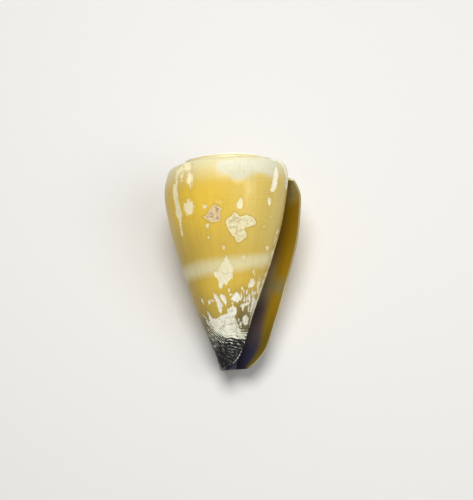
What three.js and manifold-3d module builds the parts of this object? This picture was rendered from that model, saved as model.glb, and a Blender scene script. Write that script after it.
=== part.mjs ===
// A frigid cone shell that lies on its back with its mouth up, as one solid.
// Millimetres. +Y points to the apex, +X to the outer lip, +Z up.

import * as THREE from "three";
import { mergeVertices } from "three/addons/utils/BufferGeometryUtils.js";
import Module from "manifold-3d";

// The coil has its own frame: a radius from its axis, a height above the tip, and a turn that is 0
// at the lip's edge and grows back in time, so that turn 1 lies one whorl further in.

// Lines down the last whorl as [radius, height]: the lip's edge, the side half a turn back, and
// the wall beside the mouth, a full turn back. DOWN runs from the suture (0) to the tip (1).
const DOWN = [0, 0.07, 0.17, 0.32, 0.58, 0.76, 0.87, 0.95, 1];
const LIP_LINE = [
  [11.03, 37.5], [12.75, 36.6], [13.7, 32.5], [13.15, 27], [10.4, 16],
  [8.1, 8.7], [6.35, 4.1], [4.1, 1.5], [2.9, 0.7],
];
const SIDE_LINE = [
  [9.03, 39.94], [11.95, 38.4], [12.8, 34.3], [11.95, 28.6], [9, 18.3],
  [6.6, 11.5], [4.6, 6.8], [2.95, 2.9], [2.3, 0.4],
];
const WALL_LINE = [
  [7.66, 40.43], [10.5, 39.7], [11.03, 37.5], [9.95, 29.7], [7.7, 21.6],
  [5.2, 14.5], [3.6, 10], [2.2, 4.9], [1.2, 0.6],
];
const SHOULDER = 1;
const LEAN = 2;

// The lip's edge stands a little behind the shell's widest line.
const LIP_ANGLE = THREE.MathUtils.degToRad(4);

// Spire: nearly flat, worn, and slightly domed.
const SPIRE_TURNS = 5;
const SPIRE_HEIGHT = 40.65;
const DOME_RISE = 0.7;
const DOME_START = 1.6;
const DOME_RATE = 0.6;
const RIM_SHARE = 0.035;
const RIM_LEAN = 0.008;
const RIM_FADE = 6;
const APEX_RISE = 0.3;

// The front wall stops short of a full turn near the tip, which leaves an open notch.
const NOTCH_FROM = 0.87;
const NOTCH_HEIGHT = 9;
const NOTCH_STEADY = 0.16;
const NOTCH_LATE = 0.16;
const NOTCH_POWER = 8;

// Spiral ribs round the base.
const RIBS = 8;
const RIB_TOP = 0.86;
const RIB_FOOT = 0.99;
const RIB_HEIGHT = 0.1;

// Wall thickness at the lip's edge and away from it, and the glaze on the wall beside the mouth.
const LIP_THICKNESS = 0.55;
const WALL_THICKNESS = 1.3;
const THICKENING_TURN = 0.14;
const TIP_THINNING = 0.45;
const GLAZE = 0.06;

// The hollow reaches almost a turn back, and the pillar in it thins towards the tip.
const HOLLOW_TURNS = 0.95;
const FRONT_TURN = 0.02;
const PILLAR_SHARE = 0.25;
const THINNEST_GAP = 0.1;
const OPEN_BELOW = -2;

// How the shell lies, and the small worn flat on its back.
const AXIS_SLOPE = THREE.MathUtils.degToRad(13.5);
const ROLL = THREE.MathUtils.degToRad(0);
const FLAT_DEPTH = 0.25;
const FLOOR_BLOCK = 60;

// Steps of the mesh.
const ROWS = 58;
const RAMP_STEPS = 3;
const NEAR_ROWS = 22;
const NEAR_TURN = 0.36;
const FAR_ROWS = 12;

function slopesThrough(xs, ys) {
  const gaps = xs.slice(1).map((x, i) => x - xs[i]);
  const rises = gaps.map((gap, i) => (ys[i + 1] - ys[i]) / gap);
  const end = (g0, g1, m0, m1) => {
    const slope = ((2 * g0 + g1) * m0 - g0 * m1) / (g0 + g1);
    if (slope * m0 <= 0) return 0;
    return m0 * m1 < 0 && Math.abs(slope) > 3 * Math.abs(m0) ? 3 * m0 : slope;
  };
  return xs.map((_, i) => {
    const n = gaps.length;
    if (i === 0) return end(gaps[0], gaps[1], rises[0], rises[1]);
    if (i === n) return end(gaps[n - 1], gaps[n - 2], rises[n - 1], rises[n - 2]);
    if (rises[i - 1] * rises[i] <= 0) return 0;
    const before = 2 * gaps[i] + gaps[i - 1];
    const after = gaps[i] + 2 * gaps[i - 1];
    return (before + after) / (before / rises[i - 1] + after / rises[i]);
  });
}

// A smooth curve that never overshoots its points.
function curveThrough(xs, ys) {
  const slopes = slopesThrough(xs, ys);
  return (x) => {
    let i = xs.findIndex((edge) => x <= edge) - 1;
    i = THREE.MathUtils.clamp(i, 0, xs.length - 2);
    const gap = xs[i + 1] - xs[i];
    const u = (x - xs[i]) / gap;
    const rise = u * u * (3 - 2 * u);
    const start = u * (1 - u) * (1 - u) * gap * slopes[i];
    const finish = u * u * (u - 1) * gap * slopes[i + 1];
    return ys[i] * (1 - rise) + ys[i + 1] * rise + start + finish;
  };
}

function lineDown(points) {
  const radius = curveThrough(DOWN, points.map((point) => Math.log(point[0])));
  const height = curveThrough(DOWN, points.map((point) => point[1]));
  return { radius, height };
}

const LINES = [LIP_LINE, SIDE_LINE, WALL_LINE].map(lineDown);

// Carries a value round the last turn through what it is at turns 0, 0.5 and 1.
function roundTurn([lip, side, wall], turn) {
  const back = 2 * turn - 1;
  return lip * back * (turn - 1) + side * 4 * turn * (1 - turn) + wall * turn * back;
}

function slopeAtWall([lip, side, wall]) {
  return lip - 4 * side + 3 * wall;
}

const SHOULDER_LOGS = LINES.map((line) => line.radius(DOWN[SHOULDER]));
const SHOULDER_HEIGHTS = LINES.map((line) => line.height(DOWN[SHOULDER]));
const SHRINK = slopeAtWall(SHOULDER_LOGS);
const SINK = SPIRE_HEIGHT - SHOULDER_HEIGHTS[2];
const LEVELLING = slopeAtWall(SHOULDER_HEIGHTS) / SINK;

// The shoulder's [radius, height] on any whorl.
function shoulderAt(turn) {
  const last = Math.min(turn, 1);
  const before = Math.max(turn - 1, 0);
  const radius = Math.exp(roundTurn(SHOULDER_LOGS, last) + SHRINK * before);
  if (turn <= 1) return [radius, roundTurn(SHOULDER_HEIGHTS, turn)];
  const dome = DOME_RISE * (1 - Math.exp(-DOME_RATE * Math.max(turn - DOME_START, 0)));
  return [radius, SPIRE_HEIGHT - SINK * Math.exp(-LEVELLING * before) + dome];
}

// Where the next whorl leans against the wall of this one, for turns from 1.
function leanAt(turn) {
  const [radius, height] = shoulderAt(turn);
  const [firstRadius, firstHeight] = shoulderAt(1);
  const fade = Math.exp(-RIM_FADE * (turn - 1));
  const out = WALL_LINE[LEAN][0] - firstRadius * (1 + RIM_LEAN);
  const drop = firstHeight - WALL_LINE[LEAN][1] - firstRadius * RIM_SHARE;
  return [radius * (1 + RIM_LEAN) + out * fade, height - radius * RIM_SHARE - drop * fade];
}

// The sloping top of a whorl, from the suture (0) to the shoulder (1).
function rampAt(share, turn) {
  const [innerRadius, innerHeight] = leanAt(turn + 1);
  const [outerRadius, outerHeight] = shoulderAt(turn);
  const across = 1 - Math.pow(1 - share, 1.35);
  const fall = Math.pow(share, 1.5);
  const radius = innerRadius + (outerRadius - innerRadius) * across;
  return [radius, innerHeight + (outerHeight - innerHeight) * fall];
}

function ribAt(down) {
  const phase = ((down - RIB_TOP) / (RIB_FOOT - RIB_TOP)) * RIBS;
  if (phase <= 0 || phase >= RIBS) return 0;
  return RIB_HEIGHT * (1 - Math.abs(2 * (phase % 1) - 1));
}

// The last whorl's outer face.
function faceAt(down, turn) {
  if (down < DOWN[SHOULDER]) return rampAt(down / DOWN[SHOULDER], turn);
  const radius = Math.exp(roundTurn(LINES.map((line) => line.radius(down)), turn));
  const height = roundTurn(LINES.map((line) => line.height(down)), turn);
  return [radius, height];
}

// How far round the last whorl goes, from the notch's top (0) to the tip (1).
function reachAt(share) {
  const open = THREE.MathUtils.clamp(share, 0, 1);
  return 1 - NOTCH_STEADY * open - NOTCH_LATE * Math.pow(open, NOTCH_POWER);
}

// From the coil's frame to the frame of the file's first line, still upright on its axis.
function place([radius, height], turn) {
  const angle = LIP_ANGLE + 2 * Math.PI * turn;
  return [radius * Math.cos(angle), height, -radius * Math.sin(angle)];
}

function spread(from, to, steps) {
  return Array.from({ length: steps }, (_, i) => from + ((to - from) * i) / steps);
}

// Steps down the last whorl: the ramp, two steps to the lean, the flank, the ribs, the tip.
const STEPS_DOWN = [
  ...spread(0, DOWN[SHOULDER], RAMP_STEPS),
  ...spread(DOWN[SHOULDER], DOWN[LEAN], 2),
  ...spread(DOWN[LEAN], RIB_TOP, 11),
  ...spread(RIB_TOP, RIB_FOOT, 2 * RIBS),
  RIB_FOOT,
  1,
];
const LEAN_STEP = RAMP_STEPS + 2;
const LAST_STEP = STEPS_DOWN.length - 1;

class Skin {
  points = [];
  triangles = [];

  add(point) {
    return this.points.push(point) - 1;
  }

  strip(left, right) {
    for (let j = 0; j + 1 < left.length; j += 1) {
      this.triangles.push([left[j], left[j + 1], right[j]]);
      this.triangles.push([left[j + 1], right[j + 1], right[j]]);
    }
  }

  fan(centre, rim) {
    for (let j = 0; j + 1 < rim.length; j += 1) this.triangles.push([centre, rim[j + 1], rim[j]]);
  }

  solid(wasm) {
    const used = this.triangles.filter(([a, b, c]) => a !== b && b !== c && c !== a);
    const vertProperties = new Float32Array(this.points.flat());
    const triVerts = new Uint32Array(used.flat());
    return new wasm.Manifold(new wasm.Mesh({ numProp: 3, vertProperties, triVerts }));
  }
}

// The outside: one strip wound from the lip to the apex, the flat face inside the lip, the tip.
function outside() {
  const skin = new Skin();
  const rows = [];
  for (let i = 0; i <= ROWS; i += 1) {
    const row = STEPS_DOWN.map((down, j) => {
      if (i === ROWS && j === LEAN_STEP) return rows[0][0];
      const turn = (i / ROWS) * reachAt((down - NOTCH_FROM) / (1 - NOTCH_FROM));
      const [radius, height] = faceAt(down, turn);
      return skin.add(place([radius + ribAt(down), height], turn));
    });
    rows.push(row);
  }
  const whole = ROWS * SPIRE_TURNS;
  for (let i = ROWS + 1; i <= whole; i += 1) {
    const turn = i / ROWS;
    const shoulder = shoulderAt(turn);
    const foot = leanAt(turn);
    const middle = shoulder.map((value, k) => (value + foot[k]) / 2);
    const ramp = spread(0, 1, RAMP_STEPS).map((share) => rampAt(share, turn));
    const row = [...ramp, shoulder, middle].map((point) => skin.add(place(point, turn)));
    rows.push([...row, rows[i - ROWS][0]]);
  }
  for (let i = 0; i < whole; i += 1) {
    const steps = i < ROWS ? LAST_STEP : LEAN_STEP;
    skin.strip(rows[i].slice(0, steps + 1), rows[i + 1].slice(0, steps + 1));
  }

  const lip = rows[0];
  const wall = rows[ROWS];
  skin.fan(wall[LEAN_STEP + 1], lip.slice(0, LEAN_STEP + 2));
  skin.strip(wall.slice(LEAN_STEP + 1), lip.slice(LEAN_STEP + 1));

  const tip = skin.add([0, faceAt(1, 0.5)[1], 0]);
  const tipRim = rows.slice(0, ROWS + 1).map((row) => row[LAST_STEP]);
  skin.fan(tip, [...tipRim, tipRim[0]]);

  const apex = skin.add([0, shoulderAt(SPIRE_TURNS)[1] + APEX_RISE, 0]);
  const lastSuture = rows.slice(whole - ROWS).map((row) => row[0]);
  skin.fan(apex, [...lastSuture, ...rows[whole].slice(1)].reverse());
  return skin;
}

function thicknessAt(down, turn) {
  const share = THREE.MathUtils.smoothstep(turn, 0, THICKENING_TURN);
  const full = THREE.MathUtils.lerp(LIP_THICKNESS, WALL_THICKNESS, share);
  return full * (1 - TIP_THINNING * down * down);
}

// The hollow's outer side: the face, moved in by the wall's thickness.
function hollowFace(down, turn) {
  const near = Math.max(turn, 0);
  const nudge = 0.004;
  const [radius, height] = faceAt(down, near);
  const [radiusAbove, heightAbove] = faceAt(Math.max(down - nudge, 0), near);
  const [radiusBelow, heightBelow] = faceAt(Math.min(down + nudge, 1), near);
  const along = Math.hypot(radiusBelow - radiusAbove, heightBelow - heightAbove);
  const wall = thicknessAt(down, near) / along;
  return [radius + (heightBelow - heightAbove) * wall, height - (radiusBelow - radiusAbove) * wall];
}

// The hollow's inner side: the whorl before, as a radius for each height.
function pillarRadius(turn) {
  const inside = Math.max(turn, 0);
  const foot = WALL_LINE[WALL_LINE.length - 1][1];
  const stretch = (leanAt(inside + 1)[1] - foot) / (WALL_LINE[LEAN][1] - foot);
  const samples = spread(DOWN[LEAN], 1, 60).map((down) => {
    const [radius, height] = faceAt(down, 1 + Math.min(turn, 0));
    return [radius * Math.exp(SHRINK * inside), foot + (height - foot) * stretch];
  });
  return (height) => {
    const below = samples.findIndex((sample) => sample[1] <= height);
    if (below === 0) return samples[0][0] + GLAZE;
    if (below < 0) return samples[samples.length - 1][0] + GLAZE;
    const [upper, lower] = [samples[below - 1], samples[below]];
    const share = (height - lower[1]) / (upper[1] - lower[1]);
    return lower[0] + (upper[0] - lower[0]) * share + GLAZE;
  };
}

function hollow() {
  const steps = [0.02, 0.045, DOWN[SHOULDER], 0.12, DOWN[LEAN], ...spread(0.24, 1, 10), 1];
  const turns = [0, 0.25, 0.5, 0.75].map((share) => -FRONT_TURN * (1 - share));
  turns.push(...spread(0, NEAR_TURN, NEAR_ROWS), ...spread(NEAR_TURN, HOLLOW_TURNS, FAR_ROWS));
  const skin = new Skin();
  const loops = turns.map((turn) => {
    const face = steps.map((down) => hollowFace(down, turn));
    face.push([face[face.length - 1][0], OPEN_BELOW]);
    const radiusAt = pillarRadius(turn);
    const pillar = face.map(([radius, height]) => {
      const full = THREE.MathUtils.smoothstep(height, 0, NOTCH_HEIGHT);
      const inner = radiusAt(height) * THREE.MathUtils.lerp(PILLAR_SHARE, 1, full);
      return [Math.min(inner, radius - THINNEST_GAP), height];
    });
    const at = (point) => {
      const cutBack = 1 - reachAt(1 - point[1] / NOTCH_HEIGHT);
      const forward = (Math.min(turn, 0) / FRONT_TURN) * cutBack;
      return skin.add(place(point, turn + forward));
    };
    return { face: face.map(at), pillar: pillar.map(at) };
  });
  loops.slice(1).forEach((loop, i) => {
    const before = loops[i];
    const ring = (set) => [...set.face, ...set.pillar.slice().reverse(), set.face[0]];
    skin.strip(ring(before), ring(loop));
  });
  const first = loops[0];
  const last = loops[loops.length - 1];
  skin.strip(first.pillar, first.face);
  skin.strip(last.face, last.pillar);
  return skin;
}

function toGeometry(solid) {
  const { vertProperties, triVerts } = solid.getMesh();
  const geometry = new THREE.BufferGeometry();
  geometry.setAttribute("position", new THREE.BufferAttribute(new Float32Array(vertProperties), 3));
  geometry.setIndex(new THREE.BufferAttribute(new Uint32Array(triVerts), 1));
  return geometry;
}

function toSolid(wasm, geometry) {
  const bare = geometry.clone();
  bare.deleteAttribute("normal");
  bare.deleteAttribute("uv");
  const merged = mergeVertices(bare);
  const vertProperties = new Float32Array(merged.attributes.position.array);
  const triVerts = new Uint32Array(merged.index.array);
  return new wasm.Manifold(new wasm.Mesh({ numProp: 3, vertProperties, triVerts }));
}

const wasm = await Module();
wasm.setup();

const upright = toGeometry(outside().solid(wasm).subtract(hollow().solid(wasm)));
upright.applyMatrix4(new THREE.Matrix4().makeRotationY(ROLL));
upright.applyMatrix4(new THREE.Matrix4().makeRotationX(AXIS_SLOPE));
upright.computeBoundingBox();

const floorBlock = new THREE.BoxGeometry(FLOOR_BLOCK, FLOOR_BLOCK * 2, FLOOR_BLOCK);
const floorTop = upright.boundingBox.min.z + FLAT_DEPTH;
floorBlock.translate(0, 0, floorTop - FLOOR_BLOCK / 2);
const geometry = toGeometry(toSolid(wasm, upright).subtract(toSolid(wasm, floorBlock)));
geometry.computeBoundingBox();
const middle = geometry.boundingBox.getCenter(new THREE.Vector3());
geometry.translate(-middle.x, -middle.y, -floorTop);
geometry.computeVertexNormals();

const lime = new THREE.MeshStandardMaterial({ color: 0xd3b354, roughness: 0.42, metalness: 0 });
const shell = new THREE.Mesh(geometry, lime);
shell.name = "shell";

const group = new THREE.Group();
group.add(shell);

export default group;
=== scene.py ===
"""A worn frigid cone shell, lying on its back with its mouth up, built as one piece on a plain stage."""

import math

import bmesh
import bpy
import numpy as np
from bpy.props import FloatProperty, FloatVectorProperty, IntProperty, PointerProperty
from mathutils import Matrix, Vector, noise


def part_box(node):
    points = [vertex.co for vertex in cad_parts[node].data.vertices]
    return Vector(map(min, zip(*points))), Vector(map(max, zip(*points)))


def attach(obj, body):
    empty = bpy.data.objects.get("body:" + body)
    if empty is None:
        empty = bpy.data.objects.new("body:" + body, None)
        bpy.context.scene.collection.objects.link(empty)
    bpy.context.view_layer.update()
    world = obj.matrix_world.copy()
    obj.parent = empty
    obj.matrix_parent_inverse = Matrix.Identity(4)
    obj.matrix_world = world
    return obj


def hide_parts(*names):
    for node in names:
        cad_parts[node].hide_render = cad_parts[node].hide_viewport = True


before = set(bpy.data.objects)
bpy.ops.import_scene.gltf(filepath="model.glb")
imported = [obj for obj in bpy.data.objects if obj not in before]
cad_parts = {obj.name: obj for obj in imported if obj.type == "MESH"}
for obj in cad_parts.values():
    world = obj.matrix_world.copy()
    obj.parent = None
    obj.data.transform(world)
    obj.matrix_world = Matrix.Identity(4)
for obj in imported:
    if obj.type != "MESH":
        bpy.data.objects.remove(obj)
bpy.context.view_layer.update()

bl_info = {
    "name": "Worn Cone Shell",
    "version": (1, 0, 0),
    "blender": (4, 5, 0),
    "location": "3D View > Sidebar > Cone Shell",
    "description": "Builds a worn cone shell and the plain stage that it lies on",
    "category": "Add Mesh",
}

METRE = 0.001

# The coil is drawn in millimetres, upright: x to the outer lip, y to the spire, z to the viewer.
# A turn is 0 at the lip's edge and grows back in time; turn 1 lies one whorl further in.
# Lines down the last whorl as (radius, height): the lip's edge, the side half a turn back, and
# the wall beside the mouth, a full turn back. DOWN runs from the suture (0) to the tip (1).
DOWN = np.array((0, 0.07, 0.17, 0.32, 0.58, 0.76, 0.87, 0.95, 1))
LIP_LINE = np.array((
    (11.03, 38.7), (12.5, 37.1), (13.75, 33.6), (13.2, 27), (10.4, 16),
    (8.1, 8.7), (6.35, 4.1), (4.1, 1.5), (2.9, 0.7),
))
SIDE_LINE = np.array((
    (9.03, 39.94), (11.95, 38.4), (12.8, 34.3), (11.95, 28.6), (9, 18.3),
    (6.6, 11.5), (4.6, 6.8), (2.95, 2.9), (2.3, 0.4),
))
WALL_LINE = np.array((
    (7.66, 40.43), (10.5, 39.7), (11.03, 37.5), (9.95, 29.7), (7.7, 21.6),
    (5.2, 14.5), (3.6, 10), (2.2, 4.9), (1.2, 0.6),
))
SHOULDER = 1
LEAN = 2
LIP_ANGLE = math.radians(4)

# The spire: how its shoulders climb, how each whorl's sloping top is shaped and how its rim is worn.
SPIRE_TURNS = 5
SPIRE_HEIGHT = 40.65
DOME_RISE = 0.7
DOME_START = 1.6
DOME_RATE = 0.6
RAMP_ROUNDING = 1.35
RAMP_RISE = 1.5
RIM_SHARE = 0.035
RIM_LEAN = 0.008
RIM_FADE = 6
APEX_RISE = 0.3
SUTURE_SAG = 0.6
SAG_FADE = 0.7
SAG_STARTS = (0.22, 0.42)
SAG_ENDS = (0.66, 0.95)
RIM_BUMP = 0.2
WORN_RIM = 0.075
WORN_RIM_WIDTH = 0.04
WORN_RIM_DEPTH = 3.4

# Relief in millimetres, then the lip's chips in turns, and the size in millimetres of the faces
# that are taken out after cutting.
GROWTH_RELIEF = 0.012
LIP_ROUNDING = 0.16
CHIP_DEPTH = 0.0011
CHIP_REACH = 0.03
SLIVER = 0.0005

# How the last whorl ends short of a full turn towards the tip, which leaves the notch open.
NOTCH_FROM = 0.87
NOTCH_HEIGHT = 9
NOTCH_STEADY = 0.16
NOTCH_LATE = 0.31
NOTCH_POWER = 9

# The hollow, its pillar and the canal that opens it at the narrow end, in turns and millimetres.
THICKENING_TURN = 0.14
TIP_THINNING = 0.45
GLAZE = 0.05
HOLLOW_TURNS = 0.95
FRONT_TURN = 0.02
CLEAR_OF_LIP = (0.0008, 0.003)
PILLAR_SHARE = 0.12
CANAL_TOP = 3.2
CANAL_RADIUS = 1.1
CANAL_MARK = 3.0
THINNEST_GAP = 0.1
OPEN_BELOW = -2
HOLLOW_STEPS = (9, 56)
HOLLOW_TOP = 0.02
HOLLOW_CLOSE_TURNS = 0.4

# The picture's frame: its middle, the shell's axis in it and its long side, in pixels. The size of
# a pixel, the camera's sensor and half the shell's height are in millimetres.
PICTURE_MIDDLE = np.array((236.5, 250.0))
AXIS_TOP = np.array((230.3, 153.0))
AXIS_FOOT = np.array((233.0, 371.0))
PICTURE_LONG_SIDE = 500
PIXEL = 0.192
SENSOR = 36
HALF_HEIGHT = 20.5

# Depth inside a patch of wear is counted in pixels; this far outside stands for none at all.
NO_WEAR = 9.0
EDGE_RAGGED = 0.7
FACING_FADE = (-0.02, 0.12)
FACING_RAGGED = 0.06

# Chalky wear on the front, in the picture's pixels: outlines, and one soft oval like the spots below, which
# is no wear but painted highlight: pale streaks on the upper right where the light glints.
CROWN_BLOOM = (
    (216, 161), (232, 158), (252, 157.5), (270, 157.5), (278, 160), (279.5, 176), (271, 177), (262, 172),
    (252, 173), (246, 177), (242.5, 182), (237.5, 183), (232.5, 180), (229, 175), (222, 173.5), (217, 168),
)
PAINTED_HIGHLIGHT_STREAKS = (250, 190, 7, 24, 0, 2)
PAINTED_HIGHLIGHT_FAINTER = 3.0
CROWN_DRIP = (
    (275.5, 166), (277, 167), (277.8, 173), (277.8, 180), (276, 188), (274, 192), (271.2, 192),
    (269.8, 189.8), (271.6, 186), (272.6, 180), (274, 173),
)
LEFT_STREAK = (
    (173.5, 184), (176.5, 184.5), (178.5, 199), (180.5, 208), (182.3, 215), (181, 221), (182, 228),
    (183.2, 236.5), (181.7, 236.5), (179.8, 226), (178.6, 220.5), (176, 215), (174.8, 205), (172.3, 191),
)
TEARDROP = (
    (240.5, 196), (242.8, 200), (243.6, 204), (241.5, 208.6), (238, 208.8), (236.3, 205.5), (238, 201.5),
)
BAND_CHALK = (
    (226.5, 255.5), (229, 259), (230.2, 263), (232.8, 267), (232.4, 274), (232.8, 278.5), (229.5, 280.5),
    (226, 285.5), (223.3, 284), (221.5, 288.2), (219.8, 288), (218.5, 281), (214.5, 275), (213.2, 272),
    (218, 270.5), (221, 265), (224, 258.5),
)
LOWER_CHALK = (
    (212, 318.5), (217, 318.6), (221, 315.6), (226.5, 314), (228.4, 312), (224.4, 310.4), (229, 308.2),
    (233, 305.6), (236.2, 307.5), (236.8, 313), (234.6, 316.5), (236.6, 321), (240.2, 328), (244.4, 331.6),
    (249.3, 330), (248, 336), (244.6, 341.5), (240, 340), (234, 339.4), (229, 339.2), (225, 339),
    (220, 336.5),
    (215.5, 333.5), (211.5, 328.5), (208.5, 323), (210.5, 320.5),
)
CHALK_OUTLINES = (
    CROWN_DRIP,
    LEFT_STREAK,
    TEARDROP,
    BAND_CHALK,
    LOWER_CHALK,
    ((252, 277.8), (254.8, 281), (255.5, 284), (252.5, 287.3), (248.3, 288), (247.6, 285.5), (249.8, 281.5)),
    ((236.4, 291), (239.8, 295), (240.4, 299), (238, 303), (234, 301.2), (230.8, 299.4), (233.6, 295)),
    ((221.6, 293.6), (225, 295.8), (226.8, 300), (226, 305.6), (224, 303), (221.8, 300), (219.8, 296)),
    (
        (212.8, 291.6), (217, 295.4), (219.8, 300), (222.2, 305), (222.6, 311), (220.6, 313.8),
        (218.4, 311), (216.8, 304),
    ),
    ((207, 311), (209.8, 314), (212.2, 317), (214.4, 323), (211.4, 321.8), (208.3, 316)),
    (
        (246.8, 314.8), (249, 318), (248.2, 323.6), (245.2, 325.8), (242.4, 322.4), (242.2, 318.2),
        (244.6, 315.4),
    ),
    ((252.5, 297), (256, 298), (254.5, 304), (252, 311), (250.6, 316.5), (249.8, 312), (251.2, 305)),
    (
        (238.2, 306.4), (243.4, 303.6), (250.4, 301.8), (250.2, 304.6), (244.4, 306.4), (243.8, 311.4),
        (241.8, 311), (241.4, 306.6),
    ),
)

# Rounder spots, each (across, down the picture, half width, half height, lean in degrees, softness).
CHALK_SPOTS = (
    (190, 179, 3.2, 6.5, 0, 2.5),
    (189, 207.5, 4.8, 7.8, 0, 2.5),
    (187.5, 166.5, 4, 4, 0, 1.5),
    (180, 170.5, 2, 6, 42, 1.5),
    (182, 177.5, 1, 5, 12, 1.5),
    (176.8, 180, 1, 5, 0, 1.5),
    (204.5, 206.5, 2.4, 2.1, 0, 1.2),
    (218.5, 200.8, 2, 1, 20, 2.5),
    (269.6, 201.3, 1.6, 4.2, 4, 1.2),
    (270.5, 217, 0.9, 0.9, 0, 2),
    (207.5, 225.6, 1.7, 2.4, 0, 1.2),
    (208.6, 237.8, 1.1, 1.1, 0, 1.2),
    (223.5, 247, 1, 1.2, 0, 2),
    (267.4, 247.8, 1.3, 1.9, 0, 1),
    (264.5, 226.5, 0.9, 1, 0, 2),
    (243.5, 257.5, 1.2, 1.2, 0, 2.5),
    (253.8, 272, 0.8, 2, 0, 1.5),
    (258.6, 284.5, 1.3, 6, 5, 1),
    (258, 291, 1.1, 3, 5, 1),
    (255, 293.2, 1.3, 1.6, 0, 1),
    (263.3, 282, 1.2, 4, 12, 1),
    (266.5, 287, 0.8, 3, 18, 1),
    (261, 290, 1, 4, 12, 1),
    (259, 297, 1, 3, 14, 1),
    (242.5, 288.5, 1, 1.7, 0, 1),
    (229, 290.3, 1.4, 1.9, -20, 1),
    (230.6, 294.6, 1.3, 1.5, 0, 1),
    (232.6, 303.5, 1.2, 1.6, 0, 1),
    (221, 287, 1.2, 1.6, 0, 1),
    (212.4, 300.8, 1.6, 1.2, 20, 1.5),
    (202.8, 301.6, 0.8, 3.4, -28, 1),
    (209.5, 302.3, 1.2, 2.3, -20, 1),
    (206, 318.5, 0.7, 4, -35, 1),
    (211.5, 321.5, 1, 3.5, -40, 1),
    (241.4, 297.2, 0.9, 4, 0, 1),
    (244.4, 299.5, 0.9, 3, 0, 1),
    (244.2, 291.5, 0.8, 1.8, 0, 1),
    (246.8, 292.4, 0.9, 2.4, 0, 1),
    (249.6, 298, 1.3, 5, 0, 1),
    (247, 299.5, 0.7, 3, 0, 1.2),
    (252.6, 292.8, 0.9, 3, 0, 1),
    (248.6, 308.5, 0.7, 3, 0, 1),
    (240.4, 324, 1, 2.2, 10, 1),
    (238.6, 319.5, 0.8, 1.6, 0, 1.2),
    (272.6, 253, 1.2, 4, 14, 0.8),
    (269.8, 264, 1.2, 3.4, 16, 0.8),
    (266.6, 274.5, 1.7, 3, 20, 0.8),
    (264.2, 280.5, 1.2, 3, 16, 0.8),
    (277.8, 231.5, 0.8, 2.2, 14, 1.6),
    (275, 240, 0.7, 4, 14, 1.6),
)

# Edges worn white, as lines with half their width in pixels.
WORN_EDGES = (
    (0.1, ((277.5, 237), (276, 245), (271.5, 258), (266.8, 272), (262, 287))),
    (1.0, ((262, 287), (256.4, 302), (251.6, 317), (249.2, 331), (245, 341))),
    (2.1, (
        (272, 158), (279, 159.5), (282.3, 162.3), (284.8, 166), (286.6, 171), (287.7, 177), (288, 183),
        (287.4, 188),
    )),
    (1.0, ((226, 369.4), (221, 369.5), (220, 366))),
)

# The canal's edge and some ribs on the dark narrow end that are worn white, in the same way.
CANAL_EDGE = ((246.5, 341), (242.8, 349), (239, 356), (235.3, 361), (231.5, 365), (227, 368))
CANAL_EDGE_WIDTH = 0.45
CANAL_EDGE_STRENGTH = 9
WORN_RIBS = (
    (0.4, ((221, 341), (225, 342.8), (230, 342), (235, 343.4), (239.5, 343.2), (243.5, 341.6))),
    (0.1, ((215.5, 346), (220, 345.2), (226, 347), (231, 346), (236, 347.6), (241, 346.4))),
    (0.9, ((214.3, 345), (215.4, 346.6))),
    (0.5, ((207, 322), (211, 328.5), (215.5, 334), (220.5, 338.5))),
    (0.5, ((206.8, 327), (211, 333), (216, 338.4), (221, 341.8))),
    (0.4, ((208.6, 334), (213, 339.4), (217.5, 343.4))),
)
WORN_RIB_STRENGTH = 3

# Pitted crusts, again as outlines in the picture's pixels.
CREAM_CRUST = (
    (233, 213), (235, 211.8), (237.2, 214), (240, 217.4), (243, 215.4), (246.4, 214.8), (249.4, 216.2),
    (252.4, 217), (254.2, 219.5), (255.9, 222), (255, 224.6), (252, 226), (248.6, 226.4), (245.4, 227.4),
    (243.2, 229.2), (245.2, 231), (246.6, 233.6), (246, 237), (243, 239.5), (239.4, 242), (237.4, 242.5),
    (235.9, 240.4), (234.8, 236.6), (231.8, 235), (229.8, 231.4), (227.3, 227), (225.8, 222), (227, 219),
    (230, 217.4), (232, 215.5),
)
PINK_CRUST = (
    (213, 204.4), (216.2, 205), (219, 207), (222.4, 208.6), (220.5, 210.6), (219.3, 214), (221, 217),
    (219.5, 221.4), (216.8, 221), (213, 222.6), (209.2, 221), (206, 218.6), (202, 216.4), (206, 215.4),
    (208, 213), (209.6, 209.6), (212, 207),
)

# The far side, which the picture doesn't show, gets spots of the same kinds by chance.
BACK_SPOTS = 46
BACK_SEED = 11
BACK_TURNS = (0.03, 0.5)
BACK_LOW_SHARE = 0.6
BACK_LOW_HEIGHTS = (7, 16)
BACK_HIGH_HEIGHTS = (16, 36)
BACK_HALF_WIDTHS = (0.15, 0.45)
BACK_LENGTHS = (1, 2.8)
BACK_HIGH_WIDER = 1.5
BACK_BASE_HEIGHT = 8.2

# How fine the outside's mesh is.
ROWS = 300
LIP_ROWS = (0.0006, 0.0014, 0.0025, 0.0042, 0.0066)
RAMP_STEPS = 7
WALL_STEPS = 6
SIDE_STEPS = 84
BASE_STEPS = 100
BASE_FROM = 0.84
EVEN_ROWS_FROM = 1.2

# Sizes of the materials' patterns: across and down for lines, and counts to the metre for the rest.
# Then the pale band's place on the scale of DOWN, and the depth of the fine relief in metres.
GROWTH_LINES = (420, 4)
GROWTH_BANDS = (46, 1.5)
SPIRAL_LINES = (5, 150)
WEAR_STREAKS = (200, 0.9)
LINING_LINES = (300, 3)
CLOUDS = 160.0
SPECKS = 2400.0
MOTTLES = 1300.0
PITS = 1300.0
LINING_CLOUDS = 140.0
FLOOR_GRAIN = 400.0
PALE_BAND_DOWN = 0.577
OUTSIDE_RELIEF = 0.00014
PLAIN_RELIEF = 0.0001
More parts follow.
